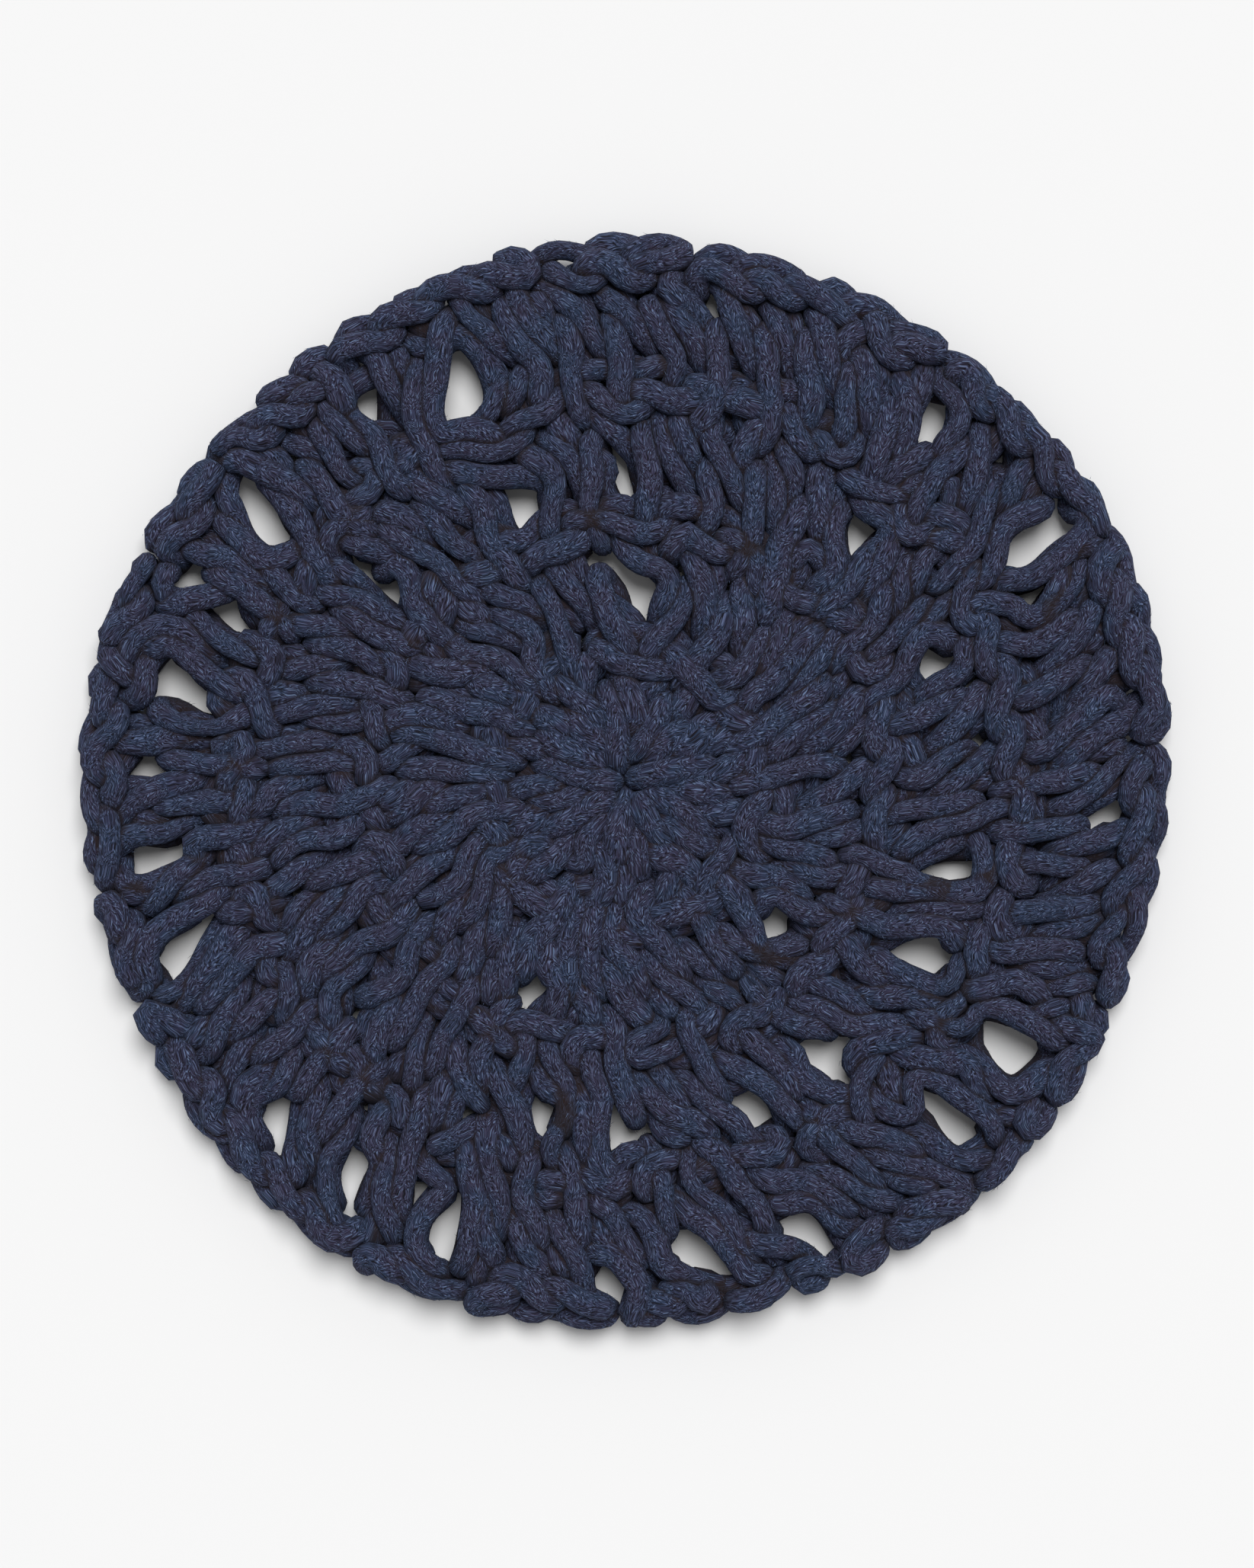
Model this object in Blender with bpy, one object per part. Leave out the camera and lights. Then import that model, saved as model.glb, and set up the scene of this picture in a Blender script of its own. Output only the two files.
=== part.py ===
"""Round mat crocheted from one thick navy cotton cord, worked from the centre out in four rounds.

Metres, +Z up. The mat lies flat on z = 0, with the middle of its underside at the origin.
"""

import math
import random

import bmesh
import bpy
from mathutils import Matrix, Vector

MM = 0.001

# Driving sizes
MAT_RADIUS = 100 * MM
THICKNESS = 11 * MM
CORD = 4.6 * MM
VALLEY_DEPTH = 0.62 * CORD
ROUND_SEAM_DEPTH = 0.42 * CORD
PINHOLE_RADIUS = 1.8 * MM
PINHOLE_DEPTH = 0.9 * CORD

# Rounds of stitches: how many stitches, the radii that they lie between, and the steps across them
ROUNDS = (
    {"stitches": 15, "inner": 5.0 * MM, "outer": 22.5 * MM, "steps": 4},
    {"stitches": 30, "inner": 22.5 * MM, "outer": 46.0 * MM, "steps": 5},
    {"stitches": 45, "inner": 46.0 * MM, "outer": 69.5 * MM, "steps": 5},
    {"stitches": 60, "inner": 69.5 * MM, "outer": 93.0 * MM, "steps": 6},
)

# Heights at the four points across one stitch, from 0 in the valley between stitches to 1 on a crest:
# its post is two cords side by side, and the chain along its outer end is one slanted link
POST_CRESTS = (1.0, 0.5, 0.9, 0.0)
CHAIN_CRESTS = (0.95, 1.0, 0.75, 0.5)
POINTS_PER_STITCH = len(POST_CRESTS)
CHAIN_AT = 0.82
CHAIN_REACH = 0.2

# The rim is the chain along the top of the last round, rolled outwards: radius and height, from the top down
RIM_LINKS = 60
RIM_SECTION = (
    {"radius": 0.966, "height": 0.97, "scallop": 0.5},
    {"radius": 0.996, "height": 0.66, "scallop": 1.0},
    {"radius": 0.996, "height": 0.28, "scallop": 1.0},
    {"radius": 0.970, "height": 0.00, "scallop": 0.5},
)
RIM_CRESTS = (1.0, 0.7, 0.0, 0.7)
RIM_LINK_DEPTH = 0.25 * CORD
SCALLOP_DEPTH = 1.5 * MM

# How far the outline swells from a circle: lobes round it, how far, and the angle of the first one
OUTLINE_LOBES = (
    {"lobes": 2, "swell": 0.8 * MM, "angle": 48},
    {"lobes": 5, "swell": 0.7 * MM, "angle": 25},
)

# How the stitches lean, in degrees counter-clockwise over one round, and the share of each round's lean
# that the rounds inside it are turned back by
LEANS = (
    {"angle": 10, "lean": 4},
    {"angle": 30, "lean": 0},
    {"angle": 70, "lean": 6},
    {"angle": 130, "lean": -5},
    {"angle": 185, "lean": 0},
    {"angle": 235, "lean": 3},
    {"angle": 295, "lean": 6},
    {"angle": 340, "lean": 3},
)
LEAN_KEPT = 0.5

# Open gaps between stitches: angle, distance from the centre, length, width, and how far the length
# turns counter-clockwise from pointing straight out. Degrees and millimetres.
GAPS = (
    (22, 60, 4.2, 3.6, 0),
    (26, 82.5, 5.5, 2.4, 10),
    (30, 86, 12, 5.4, 0),
    (47, 61.5, 4.8, 3.2, 5),
    (50, 86, 7.5, 3.4, 18),
    (85, 34, 5.4, 3.2, -10),
    (90.5, 55, 6.2, 2.2, 5),
    (110.5, 54, 6.2, 3.2, -38),
    (112.5, 78, 13, 7, -28),
    (124, 83.5, 4.6, 2.2, -30),
    (141, 55, 4.6, 2.2, -30),
    (143.5, 82.5, 15.5, 5.2, -24),
    (155, 88, 4.2, 2.6, 12),
    (157, 78.5, 5.6, 2.2, -80),
    (167.5, 82.5, 14.5, 4.2, -35),
    (178.5, 88, 5.2, 2.6, -12),
    (189, 87, 8.4, 3.8, 0),
    (200, 85.5, 13.5, 5.8, 30),
    (224, 88, 9.5, 6, 55),
    (235.5, 88, 12, 5.2, 24),
    (243.5, 84, 5.6, 2.4, -5),
    (246, 41.5, 5.6, 3.2, -7),
    (248, 87, 12, 5, 5),
    (255.5, 62.5, 6.2, 3.2, 5),
    (268, 63.5, 8.6, 2.8, -5),
    (268, 90.5, 5.6, 3.6, 56),
    (279, 86.5, 12.5, 5.6, 47),
    (292, 64, 6.4, 3, -5),
    (292, 87.5, 12, 6.2, 40),
    (305, 61.5, 8.2, 4.2, -8),
    (314, 84.5, 12, 4, 0),
    (317, 37.5, 4.4, 2.8, -50),
    (325.5, 84.5, 11.2, 7.6, -14),
    (330, 62, 8, 4.8, 17),
    (345, 60.5, 9, 2.8, 16),
    (356, 87, 5.2, 2.8, 27),
)
GAP_SIDES = 8
CUTTER_HEIGHT = 4 * THICKNESS
GAP_LIP = 2.4 * MM
GAP_LIP_DEPTH = 0.5 * CORD

UNEVEN_HEIGHT = 0.5 * MM
SEED = 5

# Linear colour of the heathered cotton, and its dull finish
NAVY = (0.031, 0.036, 0.066, 1.0)
ROUGHNESS = 0.95


def clear_scene():
    for item in list(bpy.data.objects):
        bpy.data.objects.remove(item, do_unlink=True)


def cotton_material():
    material = bpy.data.materials.new("navy_cotton_cord")
    material.use_nodes = True
    shader = material.node_tree.nodes["Principled BSDF"]
    shader.inputs["Base Color"].default_value = NAVY
    shader.inputs["Roughness"].default_value = ROUGHNESS
    shader.inputs["Metallic"].default_value = 0.0
    return material


def smooth_lean(angle):
    """Lean in radians at this angle, eased between the rows of LEANS round the whole circle."""
    degrees = math.degrees(angle) % 360
    for i, row in enumerate(LEANS):
        after = LEANS[(i + 1) % len(LEANS)]
        span = (after["angle"] - row["angle"]) % 360
        along = (degrees - row["angle"]) % 360
        if along < span:
            ease = 0.5 - 0.5 * math.cos(math.pi * along / span)
            return math.radians(row["lean"] + (after["lean"] - row["lean"]) * ease)
    return 0.0


def outline_scale(angle):
    """How far the whole mat swells or draws in along this direction, as a factor of its radius."""
    swell = sum(
        row["swell"] * math.cos(row["lobes"] * (angle - math.radians(row["angle"])))
        for row in OUTLINE_LOBES
    )
    return 1 + swell / MAT_RADIUS


def on_plane(radius, angle):
    return Vector((radius * math.cos(angle), radius * math.sin(angle), 0.0))


def gap_frame(gap):
    """Places a shape drawn about the origin, its length along X, where this gap lies."""
    angle, distance, _, _, turn = gap
    centre = on_plane(distance * MM, math.radians(angle))
    return Matrix.Translation(centre) @ Matrix.Rotation(math.radians(angle + turn), 4, "Z")


GAP_PLACES = [(gap_frame(gap).inverted(), gap[2] * MM / 2, gap[3] * MM / 2) for gap in GAPS]


def gap_sink(point):
    """How far the surface rolls down here, because a gap's edge is a round cord going under."""
    deepest = 0.0
    for to_gap, half_length, half_width in GAP_PLACES:
        local = to_gap @ point
        along = abs(local.x) / (half_length + GAP_LIP)
        across = abs(local.y) / (half_width + GAP_LIP)
        reach = math.hypot(along, across)
        if reach < 1:
            deepest = max(deepest, GAP_LIP_DEPTH * (1 - reach * reach))
    return deepest


def stitch_height(point, across, uneven):
    """Top surface at one of a stitch's points, at this share of the way across its round."""
    chain_share = max(0.0, 1 - abs(across - CHAIN_AT) / CHAIN_REACH)
    crest = POST_CRESTS[point] + (CHAIN_CRESTS[point] - POST_CRESTS[point]) * chain_share
    height = THICKNESS + uneven - VALLEY_DEPTH * (1 - crest)
    if across in (0, 1):
        height -= ROUND_SEAM_DEPTH * crest
    return height


def add_loop(bm, places):
    """A closed loop of points: a circle whose points are moved to their places."""
    points = bmesh.ops.create_circle(bm, segments=len(places), radius=MAT_RADIUS)["verts"]
    for vert, place in zip(points, places):
        vert.co = place
    return points


def edges_of(loop):
    return list({edge for vert in loop for edge in vert.link_edges if edge.other_vert(vert) in loop})


def join_loops(bm, inner, outer):
    """Faces between two loops, with triangles where the outer one has more points."""
    if len(inner) == len(outer):
        bmesh.ops.bridge_loops(bm, edges=edges_of(inner) + edges_of(outer))
        return
    i = 0
    for j, vert in enumerate(outer):
        after = outer[(j + 1) % len(outer)]
        corner = inner[i % len(inner)]
        bm.faces.new((corner, vert, after))
        if (i + 1) / len(inner) <= (j + 1) / len(outer):
            i += 1
            bm.faces.new((corner, after, inner[i % len(inner)]))


def round_loops(row, number, chance):
    """The rings of points of one round of stitches, from its inner edge outwards."""
    count = row["stitches"] * POINTS_PER_STITCH
    uneven = [chance.uniform(-UNEVEN_HEIGHT, 0) for _ in range(row["stitches"])]
    first = 0 if number == 0 else 1
    loops = []
    for step in range(first, row["steps"] + 1):
        across = step / row["steps"]
        radius = row["inner"] + (row["outer"] - row["inner"]) * across
        places = []
        for i in range(count):
            angle = math.tau * i / count
            angle += smooth_lean(angle) * LEAN_KEPT * (number + across - len(ROUNDS))
            stitch, point = divmod(i, POINTS_PER_STITCH)
            place = on_plane(radius * outline_scale(angle), angle)
            place.z = stitch_height(point, across, uneven[stitch]) - gap_sink(place)
            places.append(place)
        loops.append(places)
    return loops


def rim_loops():
    """The rings of points down the scalloped outer edge."""
    count = RIM_LINKS * POINTS_PER_STITCH
    loops = []
    for row in RIM_SECTION:
        places = []
        for i in range(count):
            angle = math.tau * i / count
            notch = 1 - RIM_CRESTS[i % POINTS_PER_STITCH]
            radius = MAT_RADIUS * row["radius"] - SCALLOP_DEPTH * row["scallop"] * notch
            place = on_plane(radius * outline_scale(angle), angle)
            place.z = row["height"] * (THICKNESS - RIM_LINK_DEPTH * notch)
            places.append(place)
        loops.append(places)
    return loops


def pinhole_loop():
    """The small dent in the middle, where the first stitches are drawn together."""
    count = ROUNDS[0]["stitches"]
    places = [on_plane(PINHOLE_RADIUS, math.tau * i / count) for i in range(count)]
    for place in places:
        place.z = THICKNESS - PINHOLE_DEPTH
    return places


def mat_mesh():
    """The whole mat with no gaps: rings of points bridged from the middle, over the rim, to the flat underside."""
    chance = random.Random(SEED)
    loops = [pinhole_loop()]
    for number, row in enumerate(ROUNDS):
        loops += round_loops(row, number, chance)
    loops += rim_loops()
    bm = bmesh.new()
    rings = [add_loop(bm, places) for places in loops]
    for inner, outer in zip(rings, rings[1:]):
        join_loops(bm, inner, outer)
    bm.faces.new(rings[0])
    bm.faces.new(rings[-1])
    bmesh.ops.recalc_face_normals(bm, faces=bm.faces)
    mesh = bpy.data.meshes.new("crochet_mat")
    bm.to_mesh(mesh)
    bm.free()
    return mesh


def gap_cutter():
    """One guide object that holds an upright prism for every gap, taller than the mat."""
    bm = bmesh.new()
    for gap in GAPS:
        _, _, length, width, _ = gap
        size = Matrix.Diagonal((length * MM / 2, width * MM / 2, 1.0, 1.0))
        bmesh.ops.create_cone(
            bm,
            cap_ends=True,
            segments=GAP_SIDES,
            radius1=1.0,
            radius2=1.0,
            depth=CUTTER_HEIGHT,
            matrix=gap_frame(gap) @ size,
        )
    mesh = bpy.data.meshes.new("gap_cutter")
    bm.to_mesh(mesh)
    bm.free()
    cutter = bpy.data.objects.new("gap_cutter", mesh)
    cutter.hide_render = True
    cutter.display_type = "WIRE"
    bpy.context.scene.collection.objects.link(cutter)
    return cutter


def make_mat():
    mesh = mat_mesh()
    mesh.materials.append(cotton_material())
    mat = bpy.data.objects.new("crochet_mat", mesh)
    bpy.context.scene.collection.objects.link(mat)
    mesh.shade_smooth()
    cut = mat.modifiers.new("open_gaps", "BOOLEAN")
    cut.operation = "DIFFERENCE"
    cut.solver = "EXACT"
    cut.use_self = True
    cut.object = gap_cutter()


clear_scene()
make_mat()
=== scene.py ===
"""Looks of the round crocheted trivet: one thick heathered navy cotton cord, stitch by stitch.

Metres, +Z up, in the frame of the part. The mat lies on z = 0 with its middle over the origin. Each
round of stitches is drawn as one cord, opened at the gaps, settled so that its strands press on each
other, and then given its thickness, its dents and its loose fibres.
"""

import math

import bmesh
import bpy
import numpy as np
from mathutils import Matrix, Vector
from mathutils.kdtree import KDTree


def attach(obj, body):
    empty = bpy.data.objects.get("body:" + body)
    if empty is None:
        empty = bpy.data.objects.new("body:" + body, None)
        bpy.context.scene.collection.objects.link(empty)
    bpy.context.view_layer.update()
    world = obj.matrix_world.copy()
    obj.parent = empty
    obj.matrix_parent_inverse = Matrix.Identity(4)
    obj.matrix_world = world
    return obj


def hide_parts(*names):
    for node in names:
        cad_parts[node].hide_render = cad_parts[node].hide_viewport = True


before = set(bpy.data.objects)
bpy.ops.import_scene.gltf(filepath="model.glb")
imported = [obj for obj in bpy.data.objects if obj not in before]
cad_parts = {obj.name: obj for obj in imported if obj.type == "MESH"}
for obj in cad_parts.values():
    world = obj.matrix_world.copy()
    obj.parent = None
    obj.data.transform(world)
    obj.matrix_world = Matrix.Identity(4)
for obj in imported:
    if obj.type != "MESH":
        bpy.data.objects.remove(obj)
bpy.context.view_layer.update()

MM = 0.001
TINY = 1e-9

# Cord and mat. A layer is how far the cord's middle line rises from the mat's middle to its face.
CORD = 4.9 * MM
PRESSED_CORD = 0.80 * CORD
MAT_RADIUS = 100 * MM
THICKNESS = 11.4 * MM
CENTRE_HEIGHT = THICKNESS / 2
LAYER = CENTRE_HEIGHT - CORD / 2

# Rounds of stitches, from the middle out
ROUNDS = (
    {"name": "first_round", "stitches": 15, "inner": 4.6 * MM, "outer": 23.0 * MM},
    {"name": "second_round", "stitches": 30, "inner": 23.0 * MM, "outer": 46.5 * MM},
    {"name": "third_round", "stitches": 45, "inner": 46.5 * MM, "outer": 70.0 * MM},
    {"name": "outer_round", "stitches": 60, "inner": 70.0 * MM, "outer": 92.2 * MM},
)

# The rim's scallops, one to a link of the last chain, and where a link's middle lies along its stitch
RIM_LINKS = ROUNDS[-1]["stitches"]
LINK_MIDDLE = 0.30
SCALLOP_DEPTH = 1.6 * MM

# How far the outline swells from a circle
OUTLINE_LOBES = (
    {"lobes": 2, "swell": 0.8 * MM, "angle": 48},
    {"lobes": 5, "swell": 0.7 * MM, "angle": 25},
)

# One stitch, as the cord runs through it. Along the round in stitches, clockwise; out across the
# round in rounds; and up in layers, from -1 at the back of the mat to 1 at its face.
STITCH = (
    # along, out, up: over from the last stitch's chain, and down the face beside this post
    (-1.00, 1.12, -0.6),
    (-0.78, 1.02, -0.5),
    (-0.62, 0.94, 0.2),
    (-0.50, 0.84, 0.6),
    (-0.34, 0.68, 0.75),
    (-0.14, 0.52, 0.55),
    (0.04, 0.42, 0.0),
    # down behind the post, and forward under the chain of the round before
    (0.12, 0.30, -0.9),
    (0.10, 0.10, -1.0),
    (0.04, -0.06, -0.9),
    (-0.06, -0.16, -0.1),
    # the long front leg of the lower loop, and back over its top
    (-0.10, -0.10, 0.7),
    (-0.06, 0.10, 1.0),
    (0.00, 0.36, 1.1),
    (0.06, 0.58, 1.05),
    (0.12, 0.72, 0.6),
    (0.16, 0.78, -0.1),
    (0.20, 0.66, -0.8),
    # down the back and up again, then across under the front leg
    (0.22, 0.42, -1.0),
    (0.24, 0.20, -0.8),
    (0.34, 0.08, -0.5),
    (0.42, 0.24, -0.8),
    (0.42, 0.44, -0.8),
    (0.24, 0.54, -0.6),
    (-0.06, 0.54, -0.7),
    (-0.26, 0.60, -0.3),
    # the front leg of the upper loop, and back over its top
    (-0.36, 0.70, 0.4),
    (-0.32, 0.84, 0.7),
    (-0.16, 0.98, 0.8),
    (-0.04, 1.04, 0.5),
    (0.02, 1.05, -0.2),
    (0.06, 0.94, -0.8),
    # forward again at the top of the post
    (0.14, 0.84, -0.9),
    (0.22, 0.90, -0.6),
    (0.12, 1.00, -0.1),
    (-0.02, 1.09, 0.3),
    # the link of the chain along the top: its near leg slants inwards, its head lies under the next link,
    # and its far leg comes back along the outside
    (0.10, 1.09, 0.8),
    (0.40, 1.04, 1.05),
    (0.80, 0.98, 1.0),
    (1.12, 0.99, 0.4),
    (1.26, 1.09, -0.3),
    (1.14, 1.20, 0.0),
    (0.85, 1.25, 0.5),
    (0.45, 1.21, 0.6),
    (0.14, 1.14, 0.2),
)

# How unlike each other the stitches are: spread of each stitch's place along the round and its own lean,
# both in stitches; of the share that its lower loop takes; and of its height, in layers and in rounds
UNEVEN = {"along": 0.07, "lean": 0.32, "share": 0.34, "up": 0.16, "out": 0.05}
# Near the chain the stitches keep together, so their own drift and lean fade out there, in rounds
DRIFT_FADES = {"from": 0.7, "rate": 3}
LEAN_FADES = {"to": 1.1, "over": 0.3}

# How the stitches lean, in degrees counter-clockwise over one round, and the share of each round's lean
# that the rounds inside it are turned back by
LEANS = (
    {"angle": 10, "lean": 4},
    {"angle": 30, "lean": 0},
    {"angle": 70, "lean": 6},
    {"angle": 130, "lean": -5},
    {"angle": 185, "lean": 0},
    {"angle": 235, "lean": 3},
    {"angle": 295, "lean": 6},
    {"angle": 340, "lean": 3},
)
LEAN_KEPT = 0.9

# How much all stitches past the first round slant the same way, in degrees from pointing straight out
SPIRAL = 13
SPIRAL_STARTS = 23 * MM

# Open gaps between stitches: angle, distance from the centre, length, width, and how far the length
# turns counter-clockwise from pointing straight out. Degrees and millimetres.
GAPS = (
    # angle, distance, length, width, turn
    (22, 60, 4.6, 4, 0),
    (25.5, 81.5, 5.5, 3.4, 10),
    (30.5, 86.5, 12.4, 4.8, 0),
    (47, 61.5, 6.2, 4.6, 5),
    (50, 86, 8, 3.6, 18),
    (85, 34, 6, 3.9, -10),
    (90.5, 55, 5.4, 1.8, 5),
    (110.5, 54, 6.8, 3.9, -38),
    (112.5, 78, 12, 6.4, -28),
    (124, 83.5, 5.2, 3.2, -30),
    (141, 55, 5.2, 3, -30),
    (143.5, 82.5, 14.5, 4.8, -24),
    (155, 88, 4.4, 2.6, 12),
    (157, 78.5, 5.6, 2.2, -80),
    (167.5, 82.5, 13, 3.2, -35),
    (178.5, 88, 5, 2.2, -12),
    (189, 87, 9.2, 4.2, 0),
    (200, 85.5, 13, 4.4, 30),
    (224, 88, 8.6, 4.6, 55),
    (235.5, 88, 11, 4.4, 24),
    (243.5, 84, 5.6, 3, -5),
    (246, 41.5, 5, 2.8, -7),
    (248, 87, 11.6, 4.8, 5),
    (255.5, 62.5, 6.2, 3.2, 5),
    (268, 63.5, 7, 2.1, -5),
    (268, 90.5, 5.8, 3.8, 56),
    (279, 86.5, 11.5, 4.8, 47),
    (292, 64, 6.4, 3, -5),
    (292, 87.5, 10, 4.4, 40),
    (305, 61.5, 7.6, 3.4, -8),
    (314, 84.5, 12.5, 4.8, 0),
    (317, 37.5, 5.2, 3.6, -50),
    (325.5, 84.5, 11, 7.2, -14),
    (330, 62, 9, 6, 17),
    (345, 60.5, 9, 3.2, 16),
    (356, 87, 5.4, 2.8, 27),
    (40.8, 89.9, 2.6, 2.3, 0),
    (244.1, 66.7, 2, 1, 0),
)
# Dark hollows between strands of the face, which go only half way down
HOLLOWS = (
    # angle, distance, length, width, turn
    (230, 20, 11, 2.4, -57),
    (283, 19, 7, 2.2, -55),
    (110, 19.5, 4.5, 2.4, -50),
    (170, 36, 9, 2.4, 3),
    (138, 36.5, 7.5, 2, 44),
    (35.5, 39, 6, 2, 22),
    (208, 38, 8.5, 1.8, -33),
    (50, 49.5, 7, 1.8, -5),
    (180, 56, 5.5, 2, -22),
    (193, 58.5, 6, 2.2, -16),
    (333, 57.5, 7, 2.4, 41),
    (348, 58, 8, 3.4, 22),
    (295, 59, 7, 2.2, 63),
    (216, 61, 12, 2.4, -21),
    (141, 63, 10, 2.2, 18),
    (113, 64.5, 9, 3, 56),
    (320, 64, 4.2, 2.6, 30),
    (241.5, 66, 8.5, 2.6, -42),
    (35, 68.5, 8.5, 3, -18),
    (74, 68, 7, 2.6, -65),
    (106.5, 73.5, 5, 3, 50),
    (312, 72.5, 5, 2.2, 45),
    (43, 76, 10, 1.5, 0),
    (346.5, 78.5, 5, 2.2, 42),
    (329, 78.5, 6, 2.2, 47),
    (316.5, 79.5, 9, 1.6, 77),
    (307.5, 80, 4.5, 3, 6),
    (272, 82, 5, 2.6, 85),
    (284, 82.5, 6, 2.8, 64),
    (81, 89.5, 8, 1.6, 71),
    (123, 90, 5.5, 3, -65),
    (305, 90, 6.5, 2, 23),
    (9, 91.5, 8, 2.4, 11),
)
# How many times its own size a gap or a hollow bends the drawn cords round it, and how its outline
# departs from an ellipse: 2 for none, more for a squarer one, and a few corners that stand out
GAP_REACH = 2.2
HOLLOW_REACH = 1.8
GAP_SQUARENESS = 2.2
GAP_CORNERS = {"count": 3, "height": 0.12}
TIMES_LED_ROUND = 2

# Spacing of the cord's points: as drawn, as it settles, and in its mesh
CURVE_PARTS = 8
FINE_STEP = 0.6 * MM
CORD_STEP = 2.3 * MM
MESH_STEP = 1.6 * MM

# Settling the cord: how it is tightened and pulled, and the most that a gap moves it in one pass
SETTLING_PASSES = 80
EASING_PASSES = 6
TIGHTEN_TO = 0.85
TIGHTENING_RATE = 1.6
PULL = {"along": 0.35, "bend": 0.12, "home": 0.03, "home_up": 0.05}
GAP_MOVES = {"hollow": 0.4 * MM, "gap": 0.5 * MM, "easing": 2.0 * MM}
# Points that press on each other: how often they are looked for, how near, leaving out how many
# neighbours along the cord, how often they are parted in one pass, and how far their pushes add up
PAIRS_EVERY = 5
PAIRS_WITHIN = PRESSED_CORD * 1.25
NEIGHBOURS_SKIPPED = 3
PARTINGS = 2
PUSHES_SHARED = 0.45

# Thickness of the cord: uneven, less on the face and more towards the middle of the mat, with dents
THICKNESS_SPREAD = 0.08
THICKNESS_SMOOTHED = 12
FACE_THINNER = 0.08
CENTRE_THICKER = 0.10
CENTRE_ENDS = MAT_RADIUS / 2
DENTS = 0.15 * MM
DENTS_SMOOTHED = 3
CORD_ROUNDNESS = 4
CORD_UNTWISTED = 8

# Loose fibres on the cord, and how they lean from its run, in degrees
LOOSE_FIBRES = 36000
FIBRE_WIDTH = 0.09 * MM
FIBRE_ROOT = 0.8 * FIBRE_WIDTH
FIBRE_LENGTH = {"shortest": 0.4 * MM, "longest": 1.2 * MM}
FIBRE_LIFT = 0.16 * MM
MOST_LIFT = 6 * FIBRE_LIFT
FIBRE_SCATTER = 0.6 * MM
FIBRE_LEAN = {"mean": 32, "spread": 14}

# Painted shade on the cords: how near another cord's middle line a point lies for shade in the creases, or
# how far down inside the rim it lies for shade low in the mat
CREASE_SHADE_NEAR = 0.44 * CORD
CREASE_SHADE_FAR = 0.66 * CORD
LOW_SHADE_BELOW = 7.0 * MM
LOW_SHADE_OVER = 3.5 * MM
RIM_STARTS = 92 * MM

SEED = 7

# Fibres of the cord. Ribs round the cord, their slant and how far they stray, and how many fibres and
# strands go to one turn
FIBRE_RIBS = 4
FIBRE_SLANT = 1.5
FIBRE_STRAY = 0.30
STRAY_SCALE = {"along": 5.0, "around": 4.0}
FIBRE_FINENESS = 38.0
STRAND_FINENESS = 26.0
FIBRE_LENGTHS = 32.0
PATCHES_PER_METRE = 160.0
FIBRE_RELIEF = 0.45 * MM
RELIEF_STRENGTH = 0.9

# Shades of the fibres, as linear colours
DARK_FIBRE = (0.008, 0.006, 0.008, 1)
NAVY_FIBRE = (0.029, 0.033, 0.069, 1)
BLUE_FIBRE = (0.110, 0.139, 0.253, 1)
PLUM_FIBRE = (0.060, 0.036, 0.058, 1)
TEAL_FIBRE = (0.020, 0.064, 0.125, 1)
GREY_FIBRE = (0.124, 0.128, 0.205, 1)
FLECK_FIBRE = (0.200, 0.280, 0.470, 1)
# painted shade: the brown-black that the creases and low parts of the cords are darkened towards
PAINTED_CREASE_SHADE = (0.023, 0.014, 0.011, 1)

# How one shade passes into the next: where in its noise, and the most of the new shade
PLUM_PATCHES = {"from": 0.46, "to": 0.62, "most": 0.2}
TEAL_PATCHES = {"from": 0.50, "to": 0.36, "most": 0.3}
PLUM_STRANDS = {"from": 0.50, "to": 0.64, "most": 0.25}
OUT_OF_DARK = {"from": 0.38, "to": 0.52, "most": 1.0}
GREY_PATCHES = {"from": 0.46, "to": 0.64, "most": 0.4}
LIGHT_FIBRES = {"from": 0.52, "to": 0.68, "most": 1.0}
FLECKS = {"from": 0.59, "to": 0.72, "most": 0.7}
# painted shade in creases and low parts, driven by the share kept on each point of the cords
PAINTED_SHADE_BAND = {"from": 0.3, "to": 1.0, "most": 0.84}
LOOSE_SHADES = {"from": 0.2, "to": 1.4, "most": 1.0}

COTTON_FINISH = {
    "Roughness": 0.95,
    "Specular IOR Level": 0.1,
    "Sheen Weight": 0.08,
    "Sheen Roughness": 0.6,
    "Sheen Tint": (0.35, 0.45, 0.75, 1),
}
LOOSE_FINISH = {"Roughness": 0.9, "Specular IOR Level": 0.2}
FLOOR_FINISH = {"Base Color": (0.9, 0.9, 0.9, 1), "Roughness": 0.9}

# Floor, a little under the mat, and light from the top of the picture and from all round
FLOOR_SIZE = 3.0
FLOOR_BELOW = 0.2 * MM
SUN_FROM = (0.10, 0.42, 1.0)
SUN_STRENGTH = 2.33
SUN_SOFTNESS = 32
AMBIENT = 0.36

# Camera over the middle, as far away as a 100 mm lens needs to take in the photograph's height
FRAME_HEIGHT = 285.4 * MM
LENS = 100
SENSOR = 36


def share(value):
    return min(max(value, 0), 1)


def ring_average(values, passes, axes=(0,)):
    """Values round a closed ring, each averaged with its neighbours this many times."""
    for _ in range(passes):
        for axis in axes:
            values = (np.roll(values, 1, axis) + 2 * values + np.roll(values, -1, axis)) / 4
    return values


def smooth_closed(points, step):
    """The closed smooth curve through these points, cut into equal steps of about this length."""
    before = np.roll(points, 1, axis=0)
    after = np.roll(points, -1, axis=0)
    beyond = np.roll(points, -2, axis=0)
    t = (np.arange(CURVE_PARTS) / CURVE_PARTS)[None, :, None]
    a, b, c, d = (x[:, None, :] for x in (before, points, after, beyond))
    curve = 0.5 * (
        2 * b
        + (c - a) * t
        + (2 * a - 5 * b + 4 * c - d) * t**2
        + (3 * b - a - 3 * c + d) * t**3
    )
    return even_steps(curve.reshape(-1, 3), step)


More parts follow.
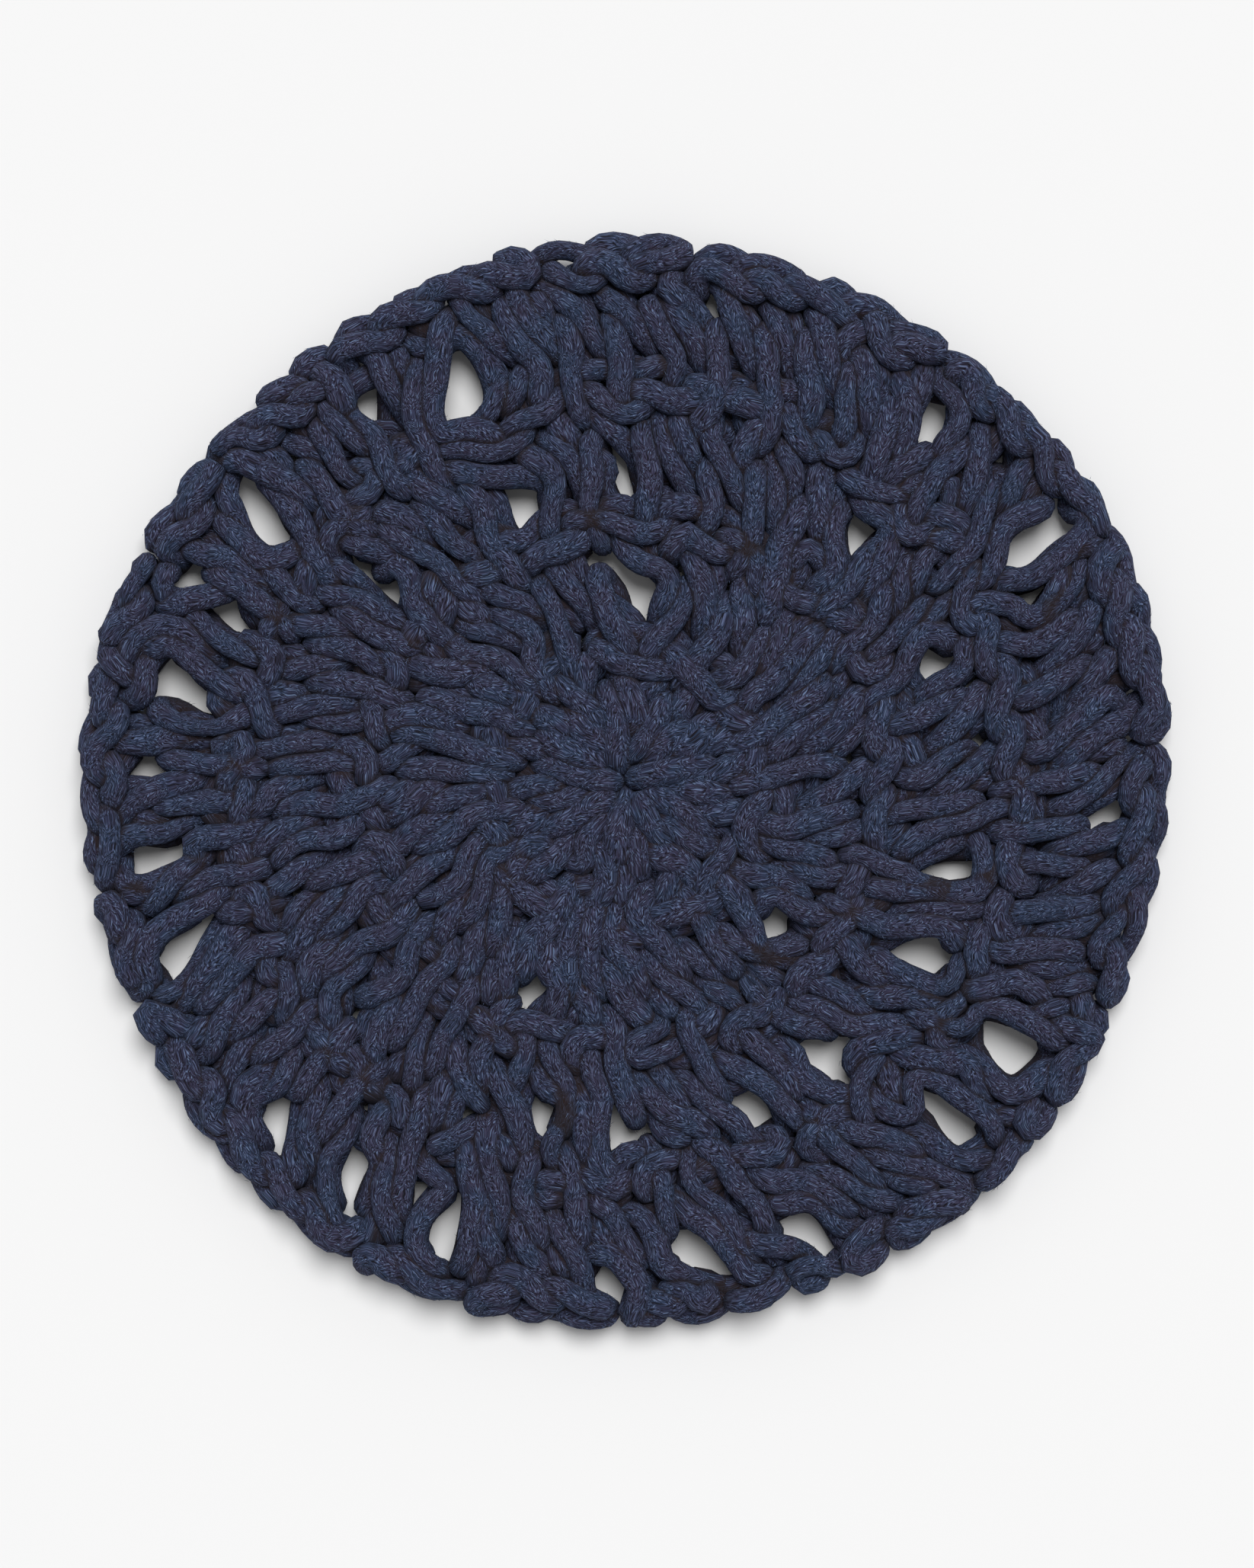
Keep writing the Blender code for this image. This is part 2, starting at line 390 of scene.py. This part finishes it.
def even_steps(points, step):
    """The same closed line with its points spaced evenly."""
    closed = np.vstack([points, points[:1]])
    run = np.concatenate([[0.0], np.cumsum(np.linalg.norm(np.diff(closed, axis=0), axis=1))])
    count = int(round(run[-1] / step))
    at = np.arange(count) * run[-1] / count
    return np.stack([np.interp(at, run, closed[:, k]) for k in range(3)], axis=1)


def smooth_lean(angles):
    """Lean in radians at these angles, eased between the rows of LEANS round the whole circle."""
    degrees = np.degrees(angles) % 360
    lean = np.zeros_like(degrees)
    for i, row in enumerate(LEANS):
        after = LEANS[(i + 1) % len(LEANS)]
        span = (after["angle"] - row["angle"]) % 360
        along = (degrees - row["angle"]) % 360
        ease = 0.5 - 0.5 * np.cos(np.pi * along / span)
        here = along < span
        lean[here] = (row["lean"] + (after["lean"] - row["lean"]) * ease)[here]
    return np.radians(lean)


def outline_scale(angles):
    """How far the whole mat swells or draws in along these directions, as a factor of its radius."""
    swell = sum(
        row["swell"] * np.cos(row["lobes"] * (angles - math.radians(row["angle"])))
        for row in OUTLINE_LOBES
    )
    return 1 + swell / MAT_RADIUS


def round_cord(number, row, chance):
    """The cord of one whole round as drawn, before it settles."""
    path = []
    for stitch in range(row["stitches"]):
        shift = chance.normal(0, UNEVEN["along"])
        lean = chance.normal(0, UNEVEN["lean"])
        power = math.exp(chance.normal(0, UNEVEN["share"]))
        lift = chance.normal(0, UNEVEN["up"])
        drift = chance.normal(0, UNEVEN["out"])
        for along, out, up in STITCH:
            drifting = 1 - share(DRIFT_FADES["rate"] * (out - DRIFT_FADES["from"]))
            leaning = share((LEAN_FADES["to"] - out) / LEAN_FADES["over"])
            place = out**power if 0 < out < 1 else out
            turn = lean * (share(out) - 0.5) * leaning
            path.append((stitch + along + shift + turn, place + drift * drifting, up + lift))
    along, out, up = np.array(path).T
    height = row["outer"] - row["inner"]
    angles = -math.tau * along / row["stitches"]
    angles = angles + smooth_lean(angles) * LEAN_KEPT * (number + out - len(ROUNDS))
    spiral = np.log(np.maximum(row["inner"] + height * out, SPIRAL_STARTS) / MAT_RADIUS)
    angles = angles + math.tan(math.radians(SPIRAL)) * spiral
    radii = (row["inner"] + height * out) * outline_scale(angles)
    heights = CENTRE_HEIGHT + LAYER * up
    points = np.stack([radii * np.cos(angles), radii * np.sin(angles), heights], axis=1)
    return smooth_closed(points, FINE_STEP)


def gap_places(rows):
    """For each gap: its centre, the directions of its length and width, and how far the cord keeps off."""
    places = []
    for angle, distance, length, width, turn in rows:
        a = math.radians(angle)
        b = math.radians(angle + turn)
        centre = distance * MM * np.array([math.cos(a), math.sin(a)])
        lengthways = np.array([math.cos(b), math.sin(b)])
        widthways = np.array([-math.sin(b), math.cos(b)])
        reach = np.array([length, width]) * MM / 2 + CORD / 2
        places.append((centre, lengthways, widthways, reach))
    return places


def open_gap(points, place, spread, most, above=0.0):
    """Moves the points over this height sideways out of a gap, less and less up to spread times its size."""
    centre, lengthways, widthways, reach = place
    away = points[:, :2] - centre
    local = np.stack([away @ lengthways, away @ widthways], axis=1) / reach
    q = np.sum(np.abs(local) ** GAP_SQUARENESS, axis=1) ** (1 / GAP_SQUARENESS)
    turned = np.arctan2(local[:, 1], local[:, 0]) + lengthways[0] * math.tau
    q = q * (1 + GAP_CORNERS["height"] * np.cos(GAP_CORNERS["count"] * turned))
    near = (q < spread) & (q > TINY) & (points[:, 2] >= above)
    if spread > 1:
        wanted = 1 + q[near] * (spread - 1) / spread
    else:
        wanted = np.ones(near.sum())
    local = local[near] * (wanted / q[near])[:, None] * reach
    move = centre + local[:, :1] * lengthways + local[:, 1:] * widthways - points[near, :2]
    far = np.linalg.norm(move, axis=1, keepdims=True)
    points[near, :2] += move * np.minimum(1, most / np.maximum(far, TINY))


def lead_round(cord, gaps):
    """The same cord in equal steps, led round every gap that it still crosses."""
    for _ in range(TIMES_LED_ROUND):
        cord = even_steps(cord, FINE_STEP)
        for gap in gaps:
            open_gap(cord, gap, 1.0, MAT_RADIUS)
    return even_steps(cord, CORD_STEP)


def close_pairs(points, ring):
    """Pairs of points that lie close together, but aren't neighbours along the same cord."""
    tree = KDTree(len(points))
    for i, point in enumerate(points):
        tree.insert(point, i)
    tree.balance()
    first = []
    second = []
    for i, point in enumerate(points):
        for _, j, _ in tree.find_range(point, PAIRS_WITHIN):
            if j > i:
                first.append(i)
                second.append(j)
    first = np.array(first)
    second = np.array(second)
    same = ring["id"][first] == ring["id"][second]
    steps = np.abs(ring["place"][first] - ring["place"][second])
    steps = np.minimum(steps, ring["count"][first] - steps)
    apart = ~(same & (steps <= NEIGHBOURS_SKIPPED))
    return first[apart], second[apart]


def part_pairs(points, first, second):
    """Parts the points that press on each other closer than a pressed cord."""
    between = points[second] - points[first]
    gap = np.linalg.norm(between, axis=1, keepdims=True)
    push = 0.5 * np.clip(PRESSED_CORD - gap, 0, None) / np.maximum(gap, TINY) * between
    total = np.zeros_like(points)
    times = np.zeros(len(points))
    pressed = (gap[:, 0] < PRESSED_CORD).astype(float)
    for index, way in ((first, -1), (second, 1)):
        np.add.at(total, index, way * push)
        np.add.at(times, index, pressed)
    points += total / np.maximum(1, PUSHES_SHARED * times)[:, None]


def tighten(points, after, length):
    """Draws each point and the next towards this distance from each other."""
    edge = points[after] - points
    size = np.linalg.norm(edge, axis=1, keepdims=True)
    move = PULL["along"] * edge * (1 - length[:, None] / np.maximum(size, TINY))
    points += move
    np.subtract.at(points, after, move)


def unbend(points, before, after):
    """Draws each point towards the middle of its two neighbours."""
    points += PULL["bend"] * ((points[after] + points[before]) / 2 - points)


def keep_in(points):
    """Holds the cord's middle line between the mat's faces and inside its scalloped rim."""
    points[:, 2] = np.clip(points[:, 2], CORD / 2, THICKNESS - CORD / 2)
    flat = np.linalg.norm(points[:, :2], axis=1)
    angles = np.arctan2(points[:, 1], points[:, 0])
    in_link = RIM_LINKS / 2 * angles - math.pi * (LINK_MIDDLE - 0.5)
    edge = MAT_RADIUS * outline_scale(angles) - CORD / 2 - SCALLOP_DEPTH * (1 - np.abs(np.sin(in_link)))
    points[:, :2] *= np.minimum(1, edge / flat)[:, None]


def settle(cords, gaps, hollows):
    """Tightens the cords until they press on each other, kept out of the gaps and within the mat."""
    points = np.vstack(cords)
    counts = [len(cord) for cord in cords]
    starts = np.concatenate([[0], np.cumsum(counts)])
    ring = {
        "id": np.repeat(np.arange(len(cords)), counts),
        "place": np.concatenate([np.arange(n) for n in counts]),
        "count": np.repeat(counts, counts),
    }
    after = np.arange(len(points)) + 1
    after[starts[1:] - 1] = starts[:-1]
    before = np.empty_like(after)
    before[after] = np.arange(len(points))
    home = points.copy()
    rest = np.linalg.norm(points[after] - points, axis=1)
    for step in range(SETTLING_PASSES):
        if step % PAIRS_EVERY == 0:
            first, second = close_pairs(points, ring)
        tightened = min(1, step / SETTLING_PASSES * TIGHTENING_RATE)
        tighten(points, after, rest * (1 + (TIGHTEN_TO - 1) * tightened))
        unbend(points, before, after)
        points[:, :2] += PULL["home"] * (home - points)[:, :2]
        points[:, 2] += PULL["home_up"] * (home - points)[:, 2]
        for _ in range(PARTINGS):
            part_pairs(points, first, second)
        for hollow in hollows:
            open_gap(points, hollow, 1.0, GAP_MOVES["hollow"], CENTRE_HEIGHT)
        for gap in gaps:
            open_gap(points, gap, 1.0, GAP_MOVES["gap"])
        keep_in(points)
    for _ in range(EASING_PASSES):
        unbend(points, before, after)
        for gap in gaps:
            open_gap(points, gap, 1.0, GAP_MOVES["easing"])
        keep_in(points)
    return [points[a:b] for a, b in zip(starts, starts[1:])]


def thickness_along(line, chance):
    """The cord's thickness at each point of its line, as a factor of its usual one."""
    swell = ring_average(chance.normal(0, 1, len(line)), THICKNESS_SMOOTHED)
    swell = 1 + THICKNESS_SPREAD * swell / swell.std()
    spread = np.minimum(1, np.hypot(line[:, 0], line[:, 1]) / CENTRE_ENDS)
    swell *= 1 - FACE_THINNER * spread * np.clip((line[:, 2] - CENTRE_HEIGHT) / LAYER, -1, 1)
    swell *= 1 + CENTRE_THICKER * (1 - spread)
    return swell


def tube(name, line, thickness):
    """A closed tube along a closed line, as a mesh with a UV map."""
    curve = bpy.data.curves.new(name, "CURVE")
    curve.dimensions = "3D"
    curve.bevel_depth = CORD / 2
    curve.bevel_resolution = CORD_ROUNDNESS
    curve.twist_smooth = CORD_UNTWISTED
    spline = curve.splines.new("POLY")
    spline.points.add(len(line) - 1)
    spline.points.foreach_set("co", np.column_stack([line, np.ones(len(line))]).ravel())
    spline.points.foreach_set("radius", thickness)
    spline.use_cyclic_u = True
    guide = bpy.data.objects.new(name + "_guide", curve)
    bpy.context.scene.collection.objects.link(guide)
    bpy.context.view_layer.update()
    graph = bpy.context.evaluated_depsgraph_get()
    mesh = bpy.data.meshes.new_from_object(guide.evaluated_get(graph))
    bpy.data.objects.remove(guide)
    bpy.data.curves.remove(curve)
    mesh.name = name
    mesh.shade_smooth()
    return mesh


def mesh_points(mesh):
    places = np.empty(3 * len(mesh.vertices))
    mesh.vertices.foreach_get("co", places)
    return places.reshape(-1, 3)


def sections_of(mesh, line):
    """The points of a cord's mesh, section by section along its line."""
    return mesh_points(mesh).reshape(len(line), -1, 3)


def dent(mesh, line, chance):
    """Presses soft dents into a cord, and nothing of it below the table."""
    places = sections_of(mesh, line)
    dents = ring_average(chance.normal(0, 1, places.shape[:2]), DENTS_SMOOTHED, (0, 1))
    dents *= DENTS / dents.std()
    outward = places - places.mean(axis=1, keepdims=True)
    places += dents[:, :, None] * outward / np.linalg.norm(outward, axis=2, keepdims=True)
    places[:, :, 2] = np.clip(places[:, :, 2], 0.0, None)
    mesh.vertices.foreach_set("co", places.ravel())


def count_turns(mesh, length):
    """Scales the UV map along the cord, so that both ways of it are in turns round the cord."""
    layer = mesh.uv_layers[0]
    turns = np.empty(2 * len(mesh.loops))
    layer.uv.foreach_get("vector", turns)
    turns[::2] *= length / (math.pi * CORD)
    layer.uv.foreach_set("vector", turns)


def make_cord(name, points, chance):
    """One round's finished cord along these points, and its middle line."""
    line = smooth_closed(points, MESH_STEP)
    length = float(np.linalg.norm(np.roll(line, -1, axis=0) - line, axis=1).sum())
    mesh = tube(name, line, thickness_along(line, chance))
    dent(mesh, line, chance)
    count_turns(mesh, length)
    print("cord length", name, round(length, 2), "triangles", 2 * len(mesh.polygons))
    cord = bpy.data.objects.new(name, mesh)
    bpy.context.scene.collection.objects.link(cord)
    return cord, line


def mark_painted_shade(pieces, lines):
    """Keeps on each point of the cords a share of painted shade, from 0 to 1: more the nearer it lies to
    another cord, or the lower it lies inside the rim.
    """
    whose = np.concatenate([np.full(len(line), i) for i, line in enumerate(lines)])
    place = np.concatenate([np.arange(len(line)) for line in lines])
    tree = KDTree(len(whose))
    for i, point in enumerate(np.vstack(lines)):
        tree.insert(point, i)
    tree.balance()
    for number, (piece, line) in enumerate(zip(pieces, lines)):
        points = piece.data.vertices
        near = np.full(len(points), CREASE_SHADE_FAR)
        sides = len(points) // len(line)
        for i, point in enumerate(points):
            own = i // sides
            for _, other, gap in tree.find_range(point.co, CREASE_SHADE_FAR):
                steps = abs(place[other] - own)
                if whose[other] == number and min(steps, len(line) - steps) <= 2 * NEIGHBOURS_SKIPPED:
                    continue
                near[i] = min(near[i], gap)
        # painted shade in the creases, where another cord lies near
        painted_shade_share = np.clip((CREASE_SHADE_FAR - near) / (CREASE_SHADE_FAR - CREASE_SHADE_NEAR), 0, 1)
        x, y, z = mesh_points(piece.data).T
        # painted shade low in the mat too, darker the lower a point lies inside the rim
        low = np.clip((LOW_SHADE_BELOW - z) / LOW_SHADE_OVER, 0, 1) * (np.hypot(x, y) < RIM_STARTS)
        painted_shade_share = np.maximum(painted_shade_share, low)
        layer = piece.data.attributes.new("painted_shade", "FLOAT", "POINT")
        layer.data.foreach_set("value", painted_shade_share * painted_shade_share * (3 - 2 * painted_shade_share))


def make_loose_fibres(pieces, lines, chance):
    """Loose fibres that lie over the cords, each a closed spike of three sides."""
    roots = []
    ways = []
    outs = []
    for piece, line in zip(pieces, lines):
        places = sections_of(piece.data, line)
        way = np.roll(line, -1, axis=0) - np.roll(line, 1, axis=0)
        out = places - places.mean(axis=1, keepdims=True)
        roots.append(places.reshape(-1, 3))
        outs.append(out.reshape(-1, 3))
        ways.append(np.repeat(way, places.shape[1], axis=0))
    roots, ways, outs = (np.concatenate(x) for x in (roots, ways, outs))
    picked = chance.choice(len(roots), LOOSE_FIBRES)
    roots, ways, outs = roots[picked], ways[picked], outs[picked]
    ways /= np.linalg.norm(ways, axis=1, keepdims=True)
    outs /= np.linalg.norm(outs, axis=1, keepdims=True)
    across = np.cross(ways, outs)
    column = (LOOSE_FIBRES, 1)
    lean = np.radians(chance.normal(FIBRE_LEAN["mean"], FIBRE_LEAN["spread"], column))
    lean = lean * chance.choice([-1, 1], column)
    along = np.cos(lean) * ways + np.sin(lean) * across
    roots = roots + chance.uniform(-FIBRE_SCATTER, FIBRE_SCATTER, column) * (ways + across)
    lift = np.minimum(chance.exponential(FIBRE_LIFT, column), MOST_LIFT)
    length = chance.uniform(FIBRE_LENGTH["shortest"], FIBRE_LENGTH["longest"], column)
    tips = roots + length * along + lift * outs
    side = np.cross(along, outs)
    corners = np.stack([
        roots - FIBRE_WIDTH / 2 * side,
        roots + FIBRE_WIDTH / 2 * side,
        roots - FIBRE_ROOT * outs,
        tips,
    ], axis=1)
    corners[:, :, 2] = np.clip(corners[:, :, 2], 0.0, None)
    first = 4 * np.arange(LOOSE_FIBRES)[:, None, None]
    faces = first + np.array([[0, 1, 3], [1, 2, 3], [2, 0, 3], [0, 2, 1]])
    mesh = bpy.data.meshes.new("loose_fibres")
    mesh.from_pydata(corners.reshape(-1, 3).tolist(), [], faces.reshape(-1, 3).tolist())
    layer = mesh.attributes.new("shade", "FLOAT", "POINT")
    layer.data.foreach_set("value", np.repeat(chance.uniform(0, 1, LOOSE_FIBRES), 4))
    fibres = bpy.data.objects.new("loose_fibres", mesh)
    bpy.context.scene.collection.objects.link(fibres)
    return fibres


def make_mat():
    """The four cords of the mat, and the loose fibres on them."""
    chance = np.random.default_rng(SEED)
    gaps = gap_places(GAPS)
    hollows = gap_places(HOLLOWS)
    drawn = [round_cord(i, row, chance) for i, row in enumerate(ROUNDS)]
    for cord in drawn:
        for hollow in hollows:
            open_gap(cord, hollow, HOLLOW_REACH, CORD, CENTRE_HEIGHT)
        for gap in gaps:
            open_gap(cord, gap, GAP_REACH, MAT_RADIUS)
    settled = settle([lead_round(cord, gaps) for cord in drawn], gaps, hollows)
    pieces = []
    lines = []
    for row, points in zip(ROUNDS, settled):
        piece, line = make_cord(row["name"], lead_round(points, gaps), chance)
        pieces.append(piece)
        lines.append(line)
    # painted shade for the creases and low parts of the cords
    mark_painted_shade(pieces, lines)
    return pieces, make_loose_fibres(pieces, lines, chance)


class Nodes:
    """Short calls that add shader nodes to one material and join them."""

    def __init__(self, name):
        self.material = bpy.data.materials.new(name)
        self.material.use_nodes = True
        self.tree = self.material.node_tree
        self.shader = self.tree.nodes["Principled BSDF"]

    def add(self, kind, inputs=(), **settings):
        node = self.tree.nodes.new(kind)
        for key, value in settings.items():
            setattr(node, key, value)
        for key, value in dict(inputs).items():
            self.put(value, node.inputs[key])
        return node

    def put(self, value, socket):
        if isinstance(value, bpy.types.NodeSocket):
            self.tree.links.new(value, socket)
        else:
            socket.default_value = value

    def finish(self, values):
        for name, value in values.items():
            self.shader.inputs[name].default_value = value

    def maths(self, way, first, second, third=0.0):
        inputs = {0: first, 1: second, 2: third}
        return self.add("ShaderNodeMath", inputs, operation=way).outputs[0]

    def times(self, first, second):
        return self.maths("MULTIPLY", first, second)

    def join(self, x, y, z=0.0):
        return self.add("ShaderNodeCombineXYZ", {0: x, 1: y, 2: z}).outputs[0]

    def noise(self, place, scale, detail, roughness=0.5):
        inputs = {"Vector": place, "Scale": scale, "Detail": detail, "Roughness": roughness}
        return self.add("ShaderNodeTexNoise", inputs).outputs["Fac"]

    def attribute(self, name):
        return self.add("ShaderNodeAttribute", attribute_name=name).outputs["Fac"]

    def between(self, value, band):
        inputs = {0: value, 1: band["from"], 2: band["to"], 3: 0.0, 4: band["most"]}
        return self.add("ShaderNodeMapRange", inputs, interpolation_type="SMOOTHSTEP").outputs[0]

    def blend(self, value, band, first, second):
        """The first colour, passing into the second as the value goes through its band."""
        inputs = {0: self.between(value, band), 6: first, 7: second}
        return self.add("ShaderNodeMix", inputs, data_type="RGBA").outputs[2]


def cotton():
    """Heathered cotton: fine fibres that slant in chevrons along the cord, in several blues, with painted
    shade in its creases and low parts.
    """
    make = Nodes("heathered_cotton")
    turns = make.add("ShaderNodeSeparateXYZ", {0: make.add("ShaderNodeTexCoord").outputs["UV"]})
    along = turns.outputs[0]
    around = turns.outputs[1]

    # The slant of the fibres: a zigzag round the cord, and some that stray from it
    zigzag = make.maths("PINGPONG", make.times(around, FIBRE_RIBS), 0.5)
    wandering = make.join(make.times(along, STRAY_SCALE["along"]), make.times(around, STRAY_SCALE["around"]))
    slant = make.maths("MULTIPLY_ADD", zigzag, FIBRE_SLANT / FIBRE_RIBS, along)
    slant = make.maths("MULTIPLY_ADD", make.noise(wandering, 1.0, 1.0), FIBRE_STRAY, slant)
    length = make.times(around, FIBRE_LENGTHS)
    fine = make.times(slant, FIBRE_FINENESS)
    coarse = make.times(slant, STRAND_FINENESS)

    # Noises drawn out along the fibres, each with its own third place, and patches through the mat
    fibres = make.noise(make.join(fine, length), 1.0, 3.0, 0.6)
    flecks = make.noise(make.join(fine, length, 3.0), 1.0, 1.0)
    hues = make.noise(make.join(coarse, length, 5.0), 1.0, 2.0)
    strands = make.noise(make.join(coarse, length, 7.0), 1.0, 2.0)
    patches = make.noise(make.add("ShaderNodeTexCoord").outputs["Object"], PATCHES_PER_METRE, 3.0)

    colour = make.blend(patches, PLUM_PATCHES, NAVY_FIBRE, PLUM_FIBRE)
    colour = make.blend(patches, TEAL_PATCHES, colour, TEAL_FIBRE)
    colour = make.blend(hues, PLUM_STRANDS, colour, PLUM_FIBRE)
    colour = make.blend(fibres, OUT_OF_DARK, DARK_FIBRE, colour)
    light = make.blend(patches, GREY_PATCHES, BLUE_FIBRE, GREY_FIBRE)
    colour = make.blend(fibres, LIGHT_FIBRES, colour, light)
    colour = make.blend(flecks, FLECKS, colour, FLECK_FIBRE)
    # painted shade: the cords darkened towards a brown-black in their creases and low in the mat
    colour = make.blend(make.attribute("painted_shade"), PAINTED_SHADE_BAND, colour, PAINTED_CREASE_SHADE)
    make.put(colour, make.shader.inputs["Base Color"])

    relief = {
        "Height": make.maths("ADD", strands, fibres),
        "Strength": RELIEF_STRENGTH,
        "Distance": FIBRE_RELIEF,
    }
    make.put(make.add("ShaderNodeBump", relief).outputs[0], make.shader.inputs["Normal"])
    make.finish(COTTON_FINISH)
    return make.material


def loose_cotton():
    """Fibres from navy to light blue, each of one shade."""
    make = Nodes("loose_cotton")
    colour = make.blend(make.attribute("shade"), LOOSE_SHADES, NAVY_FIBRE, FLECK_FIBRE)
    make.put(colour, make.shader.inputs["Base Color"])
    make.finish(LOOSE_FINISH)
    return make.material


def make_floor():
    mesh = bpy.data.meshes.new("pale_floor")
    bm = bmesh.new()
    bmesh.ops.create_grid(bm, x_segments=1, y_segments=1, size=FLOOR_SIZE)
    bmesh.ops.translate(bm, verts=bm.verts, vec=(0, 0, -FLOOR_BELOW))
    bm.to_mesh(mesh)
    bm.free()
    floor = bpy.data.objects.new("pale_floor", mesh)
    bpy.context.scene.collection.objects.link(floor)
    make = Nodes("pale_floor")
    make.finish(FLOOR_FINISH)
    mesh.materials.append(make.material)


def make_sun():
    lamp = bpy.data.lights.new("window", "SUN")
    lamp.energy = SUN_STRENGTH
    lamp.angle = math.radians(SUN_SOFTNESS)
    light = bpy.data.objects.new("window", lamp)
    light.rotation_euler = (-Vector(SUN_FROM)).to_track_quat("-Z", "Y").to_euler()
    bpy.context.scene.collection.objects.link(light)


def make_world():
    world = bpy.data.worlds.new("soft_room")
    world.use_nodes = True
    background = world.node_tree.nodes["Background"]
    background.inputs["Color"].default_value = (1, 1, 1, 1)
    background.inputs["Strength"].default_value = AMBIENT
    bpy.context.scene.world = world


def make_camera():
    lens = bpy.data.cameras.new("camera")
    lens.lens = LENS
    lens.sensor_width = SENSOR
    lens.sensor_fit = "AUTO"
    camera = bpy.data.objects.new("camera", lens)
    camera.location = (0, 0, FRAME_HEIGHT * LENS / SENSOR + THICKNESS / 2)
    bpy.context.scene.collection.objects.link(camera)
    bpy.context.scene.camera = camera


bpy.context.scene.view_settings.view_transform = "Standard"
make_camera()
make_floor()
make_world()
make_sun()
cords, fibres = make_mat()
cord_cotton = cotton()
for piece in cords:
    piece.data.materials.clear()
    piece.data.materials.append(cord_cotton)
fibres.data.materials.append(loose_cotton())
for piece in (*cords, fibres):
    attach(piece, "root")
    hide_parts("crochet_mat")
